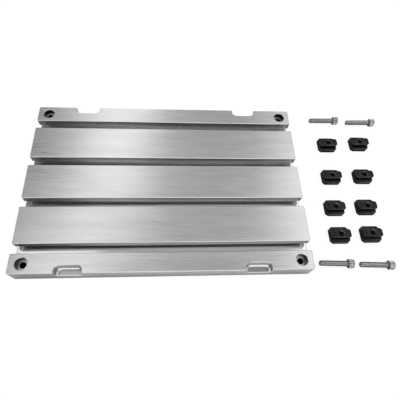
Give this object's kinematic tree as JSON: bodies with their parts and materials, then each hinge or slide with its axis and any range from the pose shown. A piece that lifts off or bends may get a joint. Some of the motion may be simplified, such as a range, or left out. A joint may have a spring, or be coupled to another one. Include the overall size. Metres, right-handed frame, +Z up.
{
  "type": "t-slot fixture plate",
  "caption": "Flat rectangular aluminium fixture plate with parallel T-slots, counterbored corner holes and edge notches, with loose T-nuts and socket head cap screws lying beside it.",
  "frame": {"origin": "centre of the plate's underside, on the surface that everything lies on", "axes": "+X along the slots towards the loose pieces, +Y to the back, +Z up out of the working face"},
  "size_m": [0.4189, 0.2035, 0.02],
  "materials": {
    "brushed_aluminium": "milled and brushed along its length",
    "black_oxide_steel": "black oxide",
    "bright_steel": "bright, zinc plated"
  },
  "bodies": {
    "plate": {"fixture_plate": "brushed_aluminium"},
    "nut_1": {"t_nut_1": "black_oxide_steel"},
    "nut_2": {"t_nut_2": "black_oxide_steel"},
    "nut_3": {"t_nut_3": "black_oxide_steel"},
    "nut_4": {"t_nut_4": "black_oxide_steel"},
    "nut_5": {"t_nut_5": "black_oxide_steel"},
    "nut_6": {"t_nut_6": "black_oxide_steel"},
    "nut_7": {"t_nut_7": "black_oxide_steel"},
    "nut_8": {"t_nut_8": "black_oxide_steel"},
    "screw_1": {"cap_screw_1": "bright_steel"},
    "screw_2": {"cap_screw_2": "bright_steel"},
    "screw_3": {"cap_screw_3": "bright_steel"},
    "screw_4": {"cap_screw_4": "bright_steel"}
  },
  "joints": [
    {"name": "nut_1_lift", "type": "slide", "parent": "plate", "child": "nut_1", "axis": [0, 0, 1], "range_m": [0, 0.04]},
    {"name": "nut_2_lift", "type": "slide", "parent": "plate", "child": "nut_2", "axis": [0, 0, 1], "range_m": [0, 0.04]},
    {"name": "nut_3_lift", "type": "slide", "parent": "plate", "child": "nut_3", "axis": [0, 0, 1], "range_m": [0, 0.04]},
    {"name": "nut_4_lift", "type": "slide", "parent": "plate", "child": "nut_4", "axis": [0, 0, 1], "range_m": [0, 0.04]},
    {"name": "nut_5_lift", "type": "slide", "parent": "plate", "child": "nut_5", "axis": [0, 0, 1], "range_m": [0, 0.04]},
    {"name": "nut_6_lift", "type": "slide", "parent": "plate", "child": "nut_6", "axis": [0, 0, 1], "range_m": [0, 0.04]},
    {"name": "nut_7_lift", "type": "slide", "parent": "plate", "child": "nut_7", "axis": [0, 0, 1], "range_m": [0, 0.04]},
    {"name": "nut_8_lift", "type": "slide", "parent": "plate", "child": "nut_8", "axis": [0, 0, 1], "range_m": [0, 0.04]},
    {"name": "screw_1_lift", "type": "slide", "parent": "plate", "child": "screw_1", "axis": [0, 0, 1], "range_m": [0, 0.04]},
    {"name": "screw_2_lift", "type": "slide", "parent": "plate", "child": "screw_2", "axis": [0, 0, 1], "range_m": [0, 0.04]},
    {"name": "screw_3_lift", "type": "slide", "parent": "plate", "child": "screw_3", "axis": [0, 0, 1], "range_m": [0, 0.04]},
    {"name": "screw_4_lift", "type": "slide", "parent": "plate", "child": "screw_4", "axis": [0, 0, 1], "range_m": [0, 0.04]}
  ]
}
